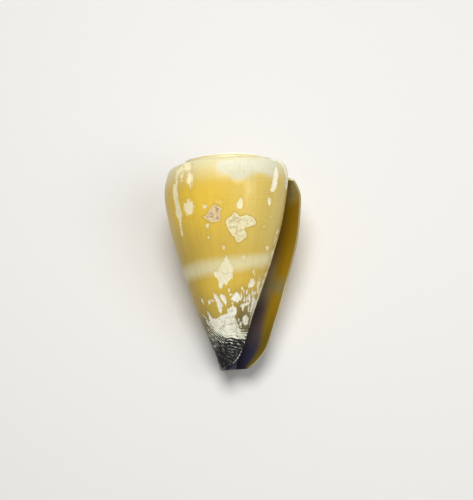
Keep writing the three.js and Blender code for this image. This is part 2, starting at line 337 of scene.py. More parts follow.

# Shades that the colours below are mixed with, in linear light.
# The first is painted shade, darkening the left limb where the light falls off.
LIMB_PAINTED_SHADE = (0.48, 0.32, 0.02)
SPIRE_TAN = (0.68, 0.58, 0.32)
LINES_DARK = (0.84, 0.83, 0.78)
LINES_LIGHT = (1.12, 1.12, 1.18)
LOW_OCHRE = (0.36, 0.27, 0.06)
LEFT_OLIVE = (0.14, 0.115, 0.04)
BROWN_BASE = (0.085, 0.075, 0.03)
RIB_CREST_GREY = (0.68, 0.68, 0.6)
CHALK_SHADOW = (0.2, 0.14, 0.04)
CENTRE_CHALK = (0.74, 0.71, 0.45)
SOILED_CHALK = (0.36, 0.345, 0.22)
GREY_CHALK = (0.33, 0.33, 0.3)
# The next three colour the crown's chalky bloom and the painted highlight streaks on the upper right; the
# third is warm painted highlight only.
PALE_BLOOM_AND_HIGHLIGHT = (0.74, 0.75, 0.63)
DULL_BLOOM_AND_HIGHLIGHT = (0.6, 0.58, 0.38)
WARM_PAINTED_HIGHLIGHT = (0.84, 0.66, 0.24)
LIP_BROWN = (0.26, 0.2, 0.065)
LIP_EDGE = (0.4, 0.35, 0.19)
CRUST_SHADOW = (0.24, 0.16, 0.05)
CREAM_PIT = (0.6, 0.47, 0.22)
PINK_PIT = (0.46, 0.27, 0.14)
# The next two are partly painted light, lifting the mouth's lining where the hollow's shade falls.
MOUTH_TAN_PAINTED_LIGHT = (0.62, 0.5, 0.27)
MOUTH_TOP_PAINTED_LIGHT = (0.8, 0.72, 0.34)
MOUTH_BAND = (0.34, 0.31, 0.15)
CANAL_DARK = (0.012, 0.011, 0.018)
LINING_DARK = (0.85, 0.85, 0.85)
LINING_LIGHT = (1.12, 1.12, 1.12)
FLOOR_SHADE = (0.7, 0.7, 0.7)

# The stage, in metres, around the shell at the origin.
KEY_PLACE = (-0.02, 0.09, 0.34)
KEY_SIZE = 0.2
FILL_PLACE = (0.2, -0.06, 0.3)
FILL_SIZE = 0.26
LIGHTS_AIM = (0, 0, 0.01)
SKY_STRENGTH = 0.18
FLOOR_HALF = 1.2
FLOOR_DROP = 0.00005
NEAREST_SEEN = 0.01

# The Mix node's sockets for colours, by number, because several of its sockets have one name.
MIX_SHARE = 0
MIX_FIRST = 6
MIX_SECOND = 7
MIX_RESULT = 2


def linear(red, green, blue):
    """A screen colour, 0 to 255, as the linear light that a material takes."""
    shares = (red / 255, green / 255, blue / 255)
    return tuple(s / 12.92 if s <= 0.04045 else ((s + 0.055) / 1.055) ** 2.4 for s in shares)


class ConeShellSizes(bpy.types.PropertyGroup):
    """Sizes of the shell and its relief"""

    axis_slope: FloatProperty(
        name="Axis slope",
        description="How far the spire's end is lifted as the shell lies on its back",
        default=math.radians(13.5),
        unit="ROTATION",
    )
    lip_thickness: FloatProperty(
        name="Lip thickness",
        description="Wall thickness at the lip's edge",
        default=0.0004,
        unit="LENGTH",
    )
    wall_thickness: FloatProperty(
        name="Wall thickness",
        description="Wall thickness away from the lip",
        default=0.0013,
        unit="LENGTH",
    )
    base_ribs: IntProperty(
        name="Base ribs",
        description="Spiral ribs round the narrow end",
        default=17,
        min=0,
    )
    rib_height: FloatProperty(
        name="Rib height",
        description="How far a rib on the narrow end stands out",
        default=0.00007,
        unit="LENGTH",
    )
    chalk_depth: FloatProperty(
        name="Chalk depth",
        description="How far the glossy surface is worn away in the chalky places",
        default=0.00007,
        unit="LENGTH",
    )
    crust_depth: FloatProperty(
        name="Crust depth",
        description="Height of the rough crusts and depth of the pits in them",
        default=0.00012,
        unit="LENGTH",
    )


class ConeShellColours(bpy.types.PropertyGroup):
    """Colours of the outside and of the mouth's lining"""

    ochre: FloatVectorProperty(
        name="Ochre",
        description="Main colour of the last whorl",
        subtype="COLOR",
        size=3,
        default=linear(214, 182, 79),
    )
    # Gold is partly the shell's own yellow and partly painted light, on the upper left front where the light
    # falls brightest.
    gold: FloatVectorProperty(
        name="Gold",
        description="The brightest part of the last whorl, below the shoulder",
        subtype="COLOR",
        size=3,
        default=linear(242, 203, 70),
    )
    straw: FloatVectorProperty(
        name="Straw",
        description="The paler and duller side beside the mouth",
        subtype="COLOR",
        size=3,
        default=linear(214, 193, 110),
    )
    cream: FloatVectorProperty(
        name="Cream",
        description="The shoulder and the pale band",
        subtype="COLOR",
        size=3,
        default=linear(230, 221, 172),
    )
    chalk: FloatVectorProperty(
        name="Chalk",
        description="Lime laid bare by wear",
        subtype="COLOR",
        size=3,
        default=linear(248, 246, 226),
    )
    base: FloatVectorProperty(
        name="Base",
        description="The dark narrow end",
        subtype="COLOR",
        size=3,
        default=linear(26, 27, 26),
    )
    stain: FloatVectorProperty(
        name="Stain",
        description="Olive grey between the chalky flecks above the narrow end",
        subtype="COLOR",
        size=3,
        default=linear(102, 97, 64),
    )
    cream_chalk: FloatVectorProperty(
        name="Cream chalk",
        description="Worn spots on the upper part, warmer than the chalk of the narrow end",
        subtype="COLOR",
        size=3,
        default=linear(255, 240, 190),
    )
    cream_crust: FloatVectorProperty(
        name="Cream crust",
        description="The larger pitted crust",
        subtype="COLOR",
        size=3,
        default=linear(236, 226, 182),
    )
    pink_crust: FloatVectorProperty(
        name="Pink crust",
        description="The smaller pitted crust",
        subtype="COLOR",
        size=3,
        default=linear(226, 202, 156),
    )
    mouth_ochre: FloatVectorProperty(
        name="Mouth ochre",
        description="Lining near the lip",
        subtype="COLOR",
        size=3,
        default=linear(186, 146, 28),
    )
    mouth_margin: FloatVectorProperty(
        name="Mouth margin",
        description="Lining at the very edge of the lip, and where the pale band shows through",
        subtype="COLOR",
        size=3,
        default=linear(176, 160, 88),
    )
    mouth_olive: FloatVectorProperty(
        name="Mouth olive",
        description="Lining near the lip, at the narrow end",
        subtype="COLOR",
        size=3,
        default=linear(118, 99, 27),
    )
    mouth_brown: FloatVectorProperty(
        name="Mouth brown",
        description="Lining deep in the mouth, at the wide end",
        subtype="COLOR",
        size=3,
        default=linear(162, 130, 78),
    )
    mouth_violet: FloatVectorProperty(
        name="Mouth violet",
        description="Lining deep in the mouth, halfway down",
        subtype="COLOR",
        size=3,
        default=linear(100, 87, 85),
    )
    mouth_navy: FloatVectorProperty(
        name="Mouth navy",
        description="Lining deep in the mouth, at the narrow end",
        subtype="COLOR",
        size=3,
        default=linear(50, 48, 66),
    )


class ConeShellStage(bpy.types.PropertyGroup):
    """The floor, the view and the lights"""

    floor: FloatVectorProperty(
        name="Floor",
        description="Colour of the plain floor",
        subtype="COLOR",
        size=3,
        default=linear(226, 224, 220),
    )
    tilt: FloatProperty(
        name="View tilt",
        description="How far the view leans from square on towards the narrow end",
        default=math.radians(6),
        unit="ROTATION",
    )
    distance: FloatProperty(
        name="Camera distance",
        description="Distance from the camera to the shell's axis",
        default=0.17,
        unit="LENGTH",
    )
    light: FloatProperty(
        name="Key light",
        description="Power of the large soft light",
        default=1.03,
        unit="POWER",
    )
    fill: FloatProperty(
        name="Fill light",
        description="Power of the second soft light",
        default=0.4,
        unit="POWER",
    )


def slopes_through(xs, ys):
    """Slopes of a smooth curve that never overshoots its points."""
    gaps = np.diff(xs)
    rises = np.diff(ys) / gaps
    slopes = np.zeros(len(xs))
    for i in range(1, len(xs) - 1):
        if rises[i - 1] * rises[i] > 0:
            before = 2 * gaps[i] + gaps[i - 1]
            after = gaps[i] + 2 * gaps[i - 1]
            slopes[i] = (before + after) / (before / rises[i - 1] + after / rises[i])
    for i, near, far in ((0, 0, 1), (-1, -1, -2)):
        bend = (2 * gaps[near] + gaps[far]) * rises[near] - gaps[near] * rises[far]
        slope = bend / (gaps[near] + gaps[far])
        slopes[i] = slope if slope * rises[near] > 0 else 0
    return slopes


def curve_through(xs, ys):
    """The curve itself, as a function."""
    slopes = slopes_through(xs, ys)

    def curve(x):
        i = np.clip(np.searchsorted(xs, x) - 1, 0, len(xs) - 2)
        gap = xs[i + 1] - xs[i]
        u = (x - xs[i]) / gap
        rise = u * u * (3 - 2 * u)
        start = u * (1 - u) ** 2 * gap * slopes[i]
        finish = u * u * (u - 1) * gap * slopes[i + 1]
        return ys[i] * (1 - rise) + ys[i + 1] * rise + start + finish

    return curve


LINES = (LIP_LINE, SIDE_LINE, WALL_LINE)
RADIUS_LOGS = [curve_through(DOWN, np.log(line[:, 0])) for line in LINES]
HEIGHTS = [curve_through(DOWN, line[:, 1]) for line in LINES]


def round_turn(values, turn):
    """Carries a value round the last turn through what it is at turns 0, 0.5 and 1."""
    lip, side, wall = values
    back = 2 * turn - 1
    return lip * back * (turn - 1) + side * 4 * turn * (1 - turn) + wall * turn * back


def slope_at_wall(values):
    """How fast such a value changes where the last turn ends."""
    lip, side, wall = values
    return lip - 4 * side + 3 * wall


SHOULDER_LOGS = [curve(DOWN[SHOULDER]) for curve in RADIUS_LOGS]
SHOULDER_HEIGHTS = [curve(DOWN[SHOULDER]) for curve in HEIGHTS]
SHRINK = slope_at_wall(SHOULDER_LOGS)
SINK = SPIRE_HEIGHT - SHOULDER_HEIGHTS[2]
LEVELLING = slope_at_wall(SHOULDER_HEIGHTS) / SINK


def smooth(value, low, high):
    """0 below low, 1 above high, and an even step between."""
    share = np.clip((value - low) / (high - low), 0, 1)
    return share * share * (3 - 2 * share)


def shoulder_at(turn):
    """The shoulder's radius and height on any whorl."""
    turn = np.asarray(turn, float)
    before = np.maximum(turn - 1, 0)
    radius = np.exp(round_turn(SHOULDER_LOGS, np.minimum(turn, 1)) + SHRINK * before)
    dome = DOME_RISE * (1 - np.exp(-DOME_RATE * np.maximum(turn - DOME_START, 0)))
    above = SPIRE_HEIGHT - SINK * np.exp(-LEVELLING * before) + dome
    return radius, np.where(turn <= 1, round_turn(SHOULDER_HEIGHTS, turn), above)


def lean_at(turn):
    """Where the next whorl leans against the wall of this one, for turns from 1."""
    radius, height = shoulder_at(turn)
    first_radius, first_height = shoulder_at(1)
    fade = np.exp(-RIM_FADE * (turn - 1))
    out = WALL_LINE[LEAN][0] - first_radius * (1 + RIM_LEAN)
    drop = first_height - WALL_LINE[LEAN][1] - first_radius * RIM_SHARE
    return radius * (1 + RIM_LEAN) + out * fade, height - radius * RIM_SHARE - drop * fade


def ramp_at(share, turn):
    """The sloping top of a whorl, from the suture (0) to the shoulder (1), lowest on its left side."""
    inner_radius, inner_height = lean_at(turn + 1)
    outer_radius, outer_height = shoulder_at(turn)
    across = 1 - (1 - share) ** RAMP_ROUNDING
    radius = inner_radius + (outer_radius - inner_radius) * across
    left = smooth(turn, *SAG_STARTS) * (1 - smooth(turn, *SAG_ENDS))
    sag = SUTURE_SAG * left * (1 - share) ** SAG_FADE
    return radius, inner_height + (outer_height - inner_height) * share**RAMP_RISE - sag


def face_at(down, turn):
    """The last whorl's outer face."""
    down, turn = np.broadcast_arrays(np.asarray(down, float), np.asarray(turn, float))
    radius = np.exp(round_turn([curve(down) for curve in RADIUS_LOGS], turn))
    height = round_turn([curve(down) for curve in HEIGHTS], turn)
    ramp_radius, ramp_height = ramp_at(np.clip(down / DOWN[SHOULDER], 0, 1), turn)
    on_ramp = down < DOWN[SHOULDER]
    return np.where(on_ramp, ramp_radius, radius), np.where(on_ramp, ramp_height, height)


def reach_at(share):
    """How far round the last whorl goes, from the notch's top (0) to the tip (1)."""
    opened = np.clip(share, 0, 1)
    return 1 - NOTCH_STEADY * opened - NOTCH_LATE * opened**NOTCH_POWER


def place(radius, height, turn):
    """Points at some radius, height and turn."""
    angle = LIP_ANGLE + 2 * math.pi * np.asarray(turn, float)
    return np.stack(np.broadcast_arrays(radius * np.cos(angle), height, -radius * np.sin(angle)), axis=-1)


class View:
    """The picture's view of the upright shell, in millimetres."""

    def __init__(self, stage):
        roll = math.atan2(*(AXIS_FOOT - AXIS_TOP))
        tilt = stage.tilt
        self.distance = stage.distance / METRE
        level_up = np.array((0, math.cos(tilt), math.sin(tilt)))
        self.toward = np.array((0, -math.sin(tilt), math.cos(tilt)))
        side = np.array((1.0, 0, 0))
        self.right = side * math.cos(roll) - level_up * math.sin(roll)
        self.up = level_up * math.cos(roll) + side * math.sin(roll)
        foot = (AXIS_FOOT - PICTURE_MIDDLE) * PIXEL
        depth = -HALF_HEIGHT * math.sin(tilt)
        self.middle = self.up * foot[1] - self.right * foot[0] + self.toward * depth
        self.lens = SENSOR * self.distance / (PICTURE_LONG_SIDE * PIXEL)

    def pixels(self, points):
        """Where points show in the picture, in pixels across and down."""
        away = points - self.middle
        scale = self.distance / (self.distance - away @ self.toward) / PIXEL
        across = PICTURE_MIDDLE[0] + away @ self.right * scale
        return across, PICTURE_MIDDLE[1] - away @ self.up * scale


def inside_outline(across, down, outline):
    """Distance in pixels to an outline: positive inside it and negative outside."""
    corners = np.array(outline, float)
    nearest = np.full(across.shape, np.inf)
    crossings = np.zeros(across.shape, int)
    for (ax, ay), (bx, by) in zip(corners, np.roll(corners, -1, axis=0)):
        edge_x, edge_y = bx - ax, by - ay
        share = ((across - ax) * edge_x + (down - ay) * edge_y) / (edge_x**2 + edge_y**2)
        share = np.clip(share, 0, 1)
        nearest = np.minimum(nearest, np.hypot(across - ax - share * edge_x, down - ay - share * edge_y))
        if ay != by:
            crosses = ((ay > down) != (by > down)) & (across < ax + (down - ay) / (by - ay) * edge_x)
            crossings += crosses
    return np.where(crossings % 2 == 1, nearest, -nearest)


def inside_spot(across, down, spot):
    """The same for a leaning oval, with softer edges where the spot says so."""
    x, y, half_width, half_height, lean, softness = spot
    turn = math.radians(lean)
    dx = (across - x) * math.cos(turn) + (down - y) * math.sin(turn)
    dy = (down - y) * math.cos(turn) - (across - x) * math.sin(turn)
    return (1 - np.hypot(dx / half_width, dy / half_height)) * min(half_width, half_height) / softness


def beside_line(across, down, line, width):
    """Distance in pixels into a line of some width."""
    nearest = np.full(across.shape, np.inf)
    for (ax, ay), (bx, by) in zip(line, line[1:]):
        edge_x, edge_y = bx - ax, by - ay
        share = np.clip(((across - ax) * edge_x + (down - ay) * edge_y) / (edge_x**2 + edge_y**2), 0, 1)
        nearest = np.minimum(nearest, np.hypot(across - ax - share * edge_x, down - ay - share * edge_y))
    return width - nearest


def roughness_of(points, size, seed=0.0):
    """Even noise from -1 to 1 over points in millimetres, in lumps of a given size."""
    shift = Vector((seed, seed * 1.7, seed * 0.3))
    return np.array([noise.noise(Vector(point) / size + shift) for point in points])


def streaks_of(first, second, seed=0.0):
    """The same noise over two numbers of each point, drawn out where one of them changes slowly."""
    spots = np.stack((first, second, first * 0), axis=-1).reshape(-1, 3)
    return roughness_of(spots, 1.0, seed).reshape(first.shape)


class Skin:
    """A mesh made of rows, with numbers kept for each of its points."""

    def __init__(self):
        self.points = []
        self.faces = []
        self.count = 0

    def add(self, points):
        """Adds points and gives their numbers, in the same shape."""
        points = np.asarray(points, float)
        numbers = np.arange(self.count, self.count + points[..., 0].size).reshape(points.shape[:-1])
        self.points.append(points.reshape(-1, 3))
        self.count += numbers.size
        return numbers

    def strip(self, left, right):
        """Faces between two lines of point numbers."""
        for a, b, c, d in zip(left, left[1:], right[1:], right):
            corners = [a, b, c, d]
            kept = [corner for i, corner in enumerate(corners) if corner != corners[i - 1]]
            if len(kept) > 2:
                self.faces.append(kept)

    def fan(self, centre, rim):
        """Faces from one point to a line of points."""
        for a, b in zip(rim, rim[1:]):
            if centre not in (a, b):
                self.faces.append([centre, b, a])

    def mesh(self, name, material, **numbers):
        """The mesh, with numbers kept on its points under their names."""
        made = bpy.data.meshes.new(name)
        made.from_pydata(np.concatenate(self.points), [], self.faces)
        made.materials.append(material)
        for key, values in numbers.items():
            attribute = made.attributes.new(key, "FLOAT", "POINT")
            attribute.data.foreach_set("value", np.asarray(values, np.float32))
        made.update()
        return made


def row_turns():
    """Places of the rows in one turn, close together at the lip so that its edge can be rounded."""
    even = np.arange(1, ROWS) / ROWS
    return np.concatenate(((0.0,), LIP_ROWS, even[even > LIP_ROWS[-1] * EVEN_ROWS_FROM]))


def steps_down():
    """Places of the points in one row, from the suture to the tip."""
    shoulder, lean = DOWN[SHOULDER], DOWN[LEAN]
    return np.concatenate((
        np.linspace(0, shoulder, RAMP_STEPS, endpoint=False),
        np.linspace(shoulder, lean, WALL_STEPS, endpoint=False),
        np.linspace(lean, BASE_FROM, SIDE_STEPS, endpoint=False),
        np.linspace(BASE_FROM, 1, BASE_STEPS),
    ))


def normals_of(grid):
    """Outward directions of a grid of points whose rows run from lip to wall."""
    along = np.gradient(grid, axis=0)
    down = np.gradient(grid, axis=1)
    facing = np.cross(down, along)
    return facing / np.maximum(np.linalg.norm(facing, axis=-1, keepdims=True), 1e-9)


def front_wear(points, normals, ragged, view):
    """Chalk, crusts, and the crown's bloom with the painted highlight streaks, on the side that the picture
    shows: depth inside them, in pixels.
    """
    across, down = view.pixels(points)
    chalk = np.full(across.shape, -NO_WEAR)
    for outline in CHALK_OUTLINES:
        chalk = np.maximum(chalk, inside_outline(across, down, outline))
    for spot in CHALK_SPOTS:
        chalk = np.maximum(chalk, inside_spot(across, down, spot))
    for width, line in WORN_EDGES:
        chalk = np.maximum(chalk, beside_line(across, down, line, width) + EDGE_RAGGED * ragged)
    edge = beside_line(across, down, CANAL_EDGE, CANAL_EDGE_WIDTH)
    chalk = np.maximum(chalk, edge * CANAL_EDGE_STRENGTH)
    for width, line in WORN_RIBS:
        chalk = np.maximum(chalk, beside_line(across, down, line, width) * WORN_RIB_STRENGTH)
    cream = inside_outline(across, down, CREAM_CRUST)
    pink = inside_outline(across, down, PINK_CRUST)
    facing = normals @ view.toward + FACING_RAGGED * ragged
    seen = smooth(facing, *FACING_FADE)
    # Painted highlight: a soft oval of pale streaks on the upper right, kept with the crown's chalky bloom.
    painted_highlight = inside_spot(across, down, PAINTED_HIGHLIGHT_STREAKS)
    bloom_and_painted_highlight = np.maximum(inside_outline(across, down, CROWN_BLOOM), painted_highlight - PAINTED_HIGHLIGHT_FAINTER)
    fields = {"chalk": chalk, "cream": cream, "pink": pink, "bloom_and_painted_highlight": bloom_and_painted_highlight}
    return {name: field * seen - NO_WEAR * (1 - seen) for name, field in fields.items()}, seen


def back_wear(down, turn, radius, height, points):
    """Chalk on the side that the picture doesn't show: spots, a worn crown and a worn base."""
    chance = np.random.default_rng(BACK_SEED)
    chalk = np.full(down.shape, -NO_WEAR)
    for _ in range(BACK_SPOTS):
        low = chance.random() < BACK_LOW_SHARE
        at_height = chance.uniform(*(BACK_LOW_HEIGHTS if low else BACK_HIGH_HEIGHTS))
        at_turn = chance.uniform(*BACK_TURNS)
        half_width = chance.uniform(*BACK_HALF_WIDTHS) * (1 if low else BACK_HIGH_WIDER)
        half_height = half_width * chance.uniform(*BACK_LENGTHS)
        aside = (turn - at_turn) * 2 * math.pi * radius
        inside = (1 - np.hypot(aside / half_width, (height - at_height) / half_height)) * half_width
        chalk = np.maximum(chalk, inside / PIXEL)
    ragged = roughness_of(points, 2.2, 3.1) * 4 + roughness_of(points, 0.8, 8.7) * 2
    base_zone = 6 - np.abs(height - BACK_BASE_HEIGHT) / PIXEL * 0.5 + ragged
    crown_zone = 3 - np.maximum(down - 0.06, 0) * 260 + ragged
    return np.maximum(chalk, np.maximum(base_zone, crown_zone) * 0.8)


def rib_count(down, turn, wobble, sizes):
    """Counts the spiral ribs down to a place; they run steeply on the left and level on the right."""
    steep = 0.1 * (1 - smooth(turn, 0.47, 0.7)) - 0.03 * smooth(turn, 0.62, 0.92)
    return (down + steep + wobble * 0.004 - BASE_FROM) / (1 - BASE_FROM) * sizes.base_ribs


def rib_profile(down, count, sizes):
    """Spiral ribs on the narrow end, as a height in millimetres."""
    share = smooth(down, 0.86, 0.9) * (1 - smooth(down, 0.985, 1))
    crest = (0.5 - 0.5 * np.cos(2 * math.pi * count)) ** 1.4
    return sizes.rib_height / METRE * crest * share


def lower_flecks(down, turn, height):
    """Fine upright flecks of chalk above the narrow end, thickest beside the mouth."""
    streaks = streaks_of(turn * 80, height * 0.5, 6.0)
    specks = streaks_of(turn * 80 * 2.1, height * 0.5 * 1.6, 9.0)
    share = (1 - smooth(height, 8.5, 15.5)) * smooth(turn, 0.5, 0.78) * (1 - smooth(down, 0.9, 0.93))
    fewer = 2.6 + 1.2 * smooth(turn, 0.82, 0.95)
    return (streaks * 5 + specks * 2.4 - fewer) * share - NO_WEAR * (1 - share)


def lip_rounding(turn):
    """How far the outer face draws in at the very edge of the lip, in millimetres."""
    share = np.clip(1 - turn / LIP_ROWS[-1], 0, 1)
    return LIP_ROUNDING * (1 - np.sqrt(1 - share**2))


def lip_chips(down):
    """How far the lip's edge is worn back at each height, in turns."""
    wave = np.sin(down * 61) * 0.4 + np.sin(down * 143 + 1) * 0.35 + np.sin(down * 317 + 2) * 0.25
    return np.clip(wave, -0.2, 1) * CHIP_DEPTH


def wear_on(grid, normals, down, turn, radius, height, view):
    """Each kind of wear on the last whorl, with the painted highlight streaks, and the fine and coarse noise
    that roughens it.
    """
    flat = grid.reshape(-1, 3)
    fine = roughness_of(flat, 0.34, 5.0).reshape(radius.shape)
    coarse = roughness_of(flat, 1.3, 2.0).reshape(radius.shape)
    wear_and_highlight, seen = front_wear(grid, normals, coarse + fine, view)
    back = back_wear(down.ravel(), turn.ravel(), radius.ravel(), height.ravel(), flat).reshape(down.shape)
    chalk = np.maximum(wear_and_highlight["chalk"], np.where(seen < 1, back - NO_WEAR * seen, -NO_WEAR))
    wear_and_highlight["chalk"] = np.maximum(chalk, lower_flecks(down, turn, height))
    return wear_and_highlight, fine, coarse


def relief_on(wear_and_highlight, fine, coarse, down, turn, ribs, sizes):
    """How far the last whorl stands out from its plain face, in millimetres."""
    growth = streaks_of(turn * 260, down * 3)
    stand = rib_profile(down, ribs, sizes)
    stand += growth * GROWTH_RELIEF * (1 - smooth(down, 0.86, 0.9))
    chalk_in = smooth(wear_and_highlight["chalk"], -0.6, 1.2)
    stand -= chalk_in * sizes.chalk_depth / METRE * (1 + 0.7 * fine + 0.5 * coarse)
    crust = np.maximum(wear_and_highlight["cream"], wear_and_highlight["pink"])
    crust_in = smooth(crust, -0.4, 0.8)
    rim = crust_in * (1 - smooth(crust, 0.8, 3.2))
    stand += sizes.crust_depth / METRE * (0.55 * rim + crust_in * (0.75 * fine - 0.15))
    stand -= lip_rounding(turn)
    stand[-1] = 0
    stand[:, -1] = 0
    return stand


def spire_row(turn):
    """One row of the spire, from the suture over the shoulder to the whorl below, with its numbers."""
    ramp_shares = np.linspace(0, 1, RAMP_STEPS, endpoint=False)
    wall_shares = np.linspace(0, 1, WALL_STEPS, endpoint=False)
    ramp_radius, ramp_height = ramp_at(ramp_shares, turn)
    top_radius, top_height = shoulder_at(turn)
    foot_radius, foot_height = lean_at(turn)
    wall_radius = top_radius + (foot_radius - top_radius) * wall_shares
    wall_height = top_height + (foot_height - top_height) * wall_shares
    points = place(np.append(ramp_radius, wall_radius), np.append(ramp_height, wall_height), turn)
    bump = noise.noise(Vector((turn * 17, 0.5, 0))) + 0.6 * noise.noise(Vector((turn * 61, 3.5, 0)))
    points[1:, 1] += bump * RIM_BUMP * np.sin(np.linspace(0, math.pi, len(points)))[1:] ** 2
    wall_down = DOWN[SHOULDER] + wall_shares * (DOWN[LEAN] - DOWN[SHOULDER])
    down = np.append(ramp_shares * DOWN[SHOULDER], wall_down)
    worn = WORN_RIM_DEPTH * (1 - np.abs(down - WORN_RIM) / WORN_RIM_WIDTH)
    worn = worn + roughness_of(points, 1.1, 4.4) * 1.2
    none = np.full(len(points), -NO_WEAR)
    numbers = {"turn": np.full(len(points), turn), "down": down, "chalk": worn, "rib": none * 0}
    return points, numbers | {"cream": none, "pink": none, "bloom_and_painted_highlight": none}


def outside_skin(view, sizes, material):
    """The outside: one strip wound from the lip to the apex, the flat face inside the lip, the tip."""
    skin = Skin()
    turns = np.append(row_turns(), 1.0)
    rows = len(turns) - 1
    down = steps_down()
    reach = reach_at((down - NOTCH_FROM) / (1 - NOTCH_FROM))
    turn_grid = turns[:, None] * reach[None, :]
    down_grid = np.broadcast_to(down, turn_grid.shape)
    near_lip = np.clip(1 - turns[:, None] / CHIP_REACH, 0, 1)
    worn_turn = turn_grid + lip_chips(down_grid) * near_lip * smooth(down_grid, 0.07, 0.12)
    radius, height = face_at(down_grid, worn_turn)
    grid = place(radius, height, worn_turn)
    normals = normals_of(grid)
    wear_and_highlight, fine, coarse = wear_on(grid, normals, down_grid, turn_grid, radius, height, view)
    ribs = rib_count(down_grid, turn_grid, streaks_of(turn_grid * 26, down_grid * 60, 12.0), sizes)
    stand = relief_on(wear_and_highlight, fine, coarse, down_grid, turn_grid, ribs, sizes)
    numbers = skin.add(grid + normals * stand[..., None])

    lean_step = RAMP_STEPS + WALL_STEPS
    numbers[rows, lean_step] = numbers[0, 0]
    spire_rows = [numbers[i] for i in range(rows + 1)]
    fields = {"turn": turn_grid, "down": down_grid, "rib": ribs, **wear_and_highlight}
    kept = {key: [values.ravel()] for key, values in fields.items()}
    last = rows * SPIRE_TURNS
    for i in range(rows + 1, last + 1):
        points, values = spire_row(turns[i % rows] + i // rows)
        spire_rows.append(np.append(skin.add(points), spire_rows[i - rows][0]))
        for key in kept:
            kept[key].append(values[key])
    for i in range(last):
        steps = len(down) if i < rows else lean_step + 1
        skin.strip(spire_rows[i][:steps], spire_rows[i + 1][:steps])

    lip, wall = spire_rows[0], spire_rows[rows]
    skin.fan(wall[lean_step + 1], lip[: lean_step + 2])
    skin.strip(wall[lean_step + 1 :], lip[lean_step + 1 :])
    tip = skin.add([(0, face_at(1, 0.5)[1], 0)])[0]
    tip_rim = [row[-1] for row in spire_rows[: rows + 1]]
    skin.fan(tip, [*tip_rim, tip_rim[0]])
    apex = skin.add([(0, shoulder_at(SPIRE_TURNS)[1] + APEX_RISE, 0)])[0]
    last_suture = [row[0] for row in spire_rows[last - rows :]]
    skin.fan(apex, [*last_suture, *spire_rows[last][1:]][::-1])
    ends = {"turn": (0.5, SPIRE_TURNS), "down": (1, 0), "chalk": (-2, 2), "rib": (0, 0)}
    for key, values in kept.items():
        values.append(np.array(ends.get(key, (-NO_WEAR, -NO_WEAR)), float))
    return skin.mesh("outside", material, **{key: np.concatenate(values) for key, values in kept.items()})


def hollow_face(down, turn, sizes):
    """The hollow's outer side: the face, moved in by the wall's thickness."""
    near = max(turn, 0)
    nudge = 0.004
    radius, height = face_at(down, near)
    above = face_at(np.maximum(down - nudge, 0), near)
    below = face_at(np.minimum(down + nudge, 1), near)
    along = np.stack((below[0] - above[0], below[1] - above[1]))
    share = smooth(np.sqrt(near / THICKENING_TURN), 0, 1)
    lip, full = sizes.lip_thickness / METRE, sizes.wall_thickness / METRE
    wall = (lip + (full - lip) * share) * (1 - TIP_THINNING * down**2) / np.hypot(*along)
    return radius + along[1] * wall, height - along[0] * wall


def pillar_radius(turn):
    """The hollow's inner side: the whorl before, as a radius for each height."""
    inside = max(turn, 0)
    foot = WALL_LINE[-1][1]
    stretch = (lean_at(inside + 1)[1] - foot) / (WALL_LINE[LEAN][1] - foot)
    radius, height = face_at(np.linspace(DOWN[LEAN], 1, 160), 1 + min(turn, 0))
    radius = radius * math.exp(SHRINK * inside)
    height = foot + (height - foot) * stretch
    return lambda at: np.interp(at, height[::-1], radius[::-1]) + GLAZE


def hollow_skin(sizes, material):
    """The hollow behind the mouth, as a closed block to cut away."""
    skin = Skin()
    above = np.linspace(HOLLOW_TOP, DOWN[LEAN], HOLLOW_STEPS[0], endpoint=False)
    down = np.concatenate((above, np.linspace(DOWN[LEAN], 1, HOLLOW_STEPS[1])))
    forward = -FRONT_TURN * np.linspace(1, 0.1, 10)
    forward = np.append(forward, -CLEAR_OF_LIP[0])
    near = np.linspace(CLEAR_OF_LIP[1], HOLLOW_CLOSE_TURNS, 56, endpoint=False)
    far = np.linspace(HOLLOW_CLOSE_TURNS, HOLLOW_TURNS, 28)
    turns = np.concatenate((forward, near, far))
    kept = {"turn": [], "down": []}
    rings = []
    for turn in turns:
        radius, height = hollow_face(down, turn, sizes)
        radius = np.append(radius, radius[-1])
        height = np.append(height, OPEN_BELOW)
        thin = PILLAR_SHARE + (1 - PILLAR_SHARE) * smooth(height, 0, NOTCH_HEIGHT)
        pillar = np.minimum(pillar_radius(turn)(height) * thin, radius - THINNEST_GAP)
        cut_back = 1 - reach_at(1 - (height - WALL_LINE[-1][1]) / NOTCH_HEIGHT)
        at_turn = turn + min(turn, 0) / FRONT_TURN * cut_back
        face = skin.add(place(radius, height, at_turn))
        inner = skin.add(place(pillar, height, at_turn))
        rings.append((face, inner))
        marks = (turn, turn + 1) if turn > 0 else (0, 1)
        if turn < -CLEAR_OF_LIP[0]:
            marks = (CANAL_MARK, CANAL_MARK)
        kept["turn"] += [np.full(len(radius), mark) for mark in marks]
        kept["down"] += [np.append(down, 1)] * 2
    for before, after in zip(rings, rings[1:]):
        left, right = ([*face, *inner[::-1], face[0]] for face, inner in (before, after))
        skin.strip(left, right)
    skin.strip(rings[0][1], rings[0][0])
    skin.strip(rings[-1][0], rings[-1][1])
    return skin.mesh("hollow", material, **{key: np.concatenate(values) for key, values in kept.items()})


def canal_skin(material):
    """The open canal at the narrow end, a blunt cone that takes the pillar's tip away."""
    skin = Skin()
    rings = []
    for share in np.linspace(0, 1, 9):
        radius = CANAL_RADIUS * math.sqrt(max(1 - share, 0.0004))
        height = OPEN_BELOW + (CANAL_TOP - OPEN_BELOW) * share
        ring = skin.add(place(radius, height, np.linspace(0, 1, 24, endpoint=False)))
        rings.append([*ring, ring[0]])
    for lower, upper in zip(rings, rings[1:]):
        skin.strip(lower, upper)
    foot = skin.add([(0, OPEN_BELOW, 0)])[0]
    top = skin.add([(0, CANAL_TOP, 0)])[0]
    skin.fan(foot, rings[0])
    skin.fan(top, rings[-1][::-1])
    return skin.mesh("canal", material, turn=np.full(skin.count, CANAL_MARK), down=np.ones(skin.count))


